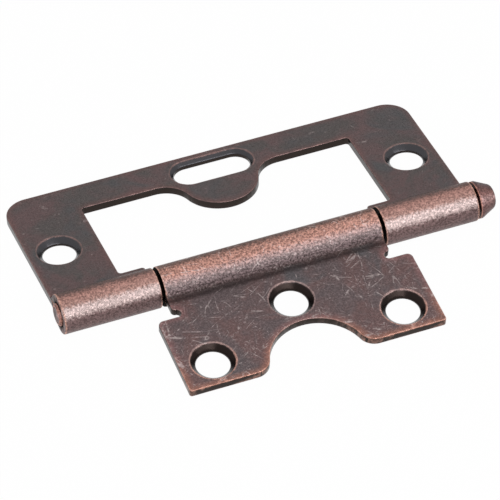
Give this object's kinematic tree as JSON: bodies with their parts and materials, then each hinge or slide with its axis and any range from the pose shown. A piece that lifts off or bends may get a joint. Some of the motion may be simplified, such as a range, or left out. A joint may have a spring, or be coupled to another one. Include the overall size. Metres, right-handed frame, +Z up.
{
  "type": "flush hinge",
  "caption": "Flush hinge: a small scalloped leaf folds into the window of a larger frame-shaped leaf, on a loose pin with a tapered head.",
  "frame": {"origin": "on the pin's axis, at the middle of the barrel", "axes": "+X along the pin towards its head, +Y towards the outer leaf, +Z up from the surface that the open hinge lies on, countersinks facing up"},
  "size_m": [0.0806, 0.0556, 0.0071],
  "materials": {
    "outer_leaf": "antique copper plating, dark on the flats and worn to copper at the edges",
    "inner_leaf": "antique copper plating, scratched, worn to copper on the knuckle and the edges",
    "hinge_pin": "antique copper plating on a turned steel pin"
  },
  "bodies": {
    "outer_leaf": {"outer_leaf": "outer_leaf"},
    "inner_leaf": {"inner_leaf": "inner_leaf"},
    "hinge_pin": {"hinge_pin": "hinge_pin"}
  },
  "joints": [
    {"name": "leaf_swing", "type": "hinge", "parent": "outer_leaf", "child": "inner_leaf", "pos_m": [0, 0, 0], "axis": [1, 0, 0], "continuous": true},
    {"name": "pin_pull", "type": "slide", "parent": "outer_leaf", "child": "hinge_pin", "axis": [1, 0, 0], "range_m": [0, 0.077]}
  ]
}
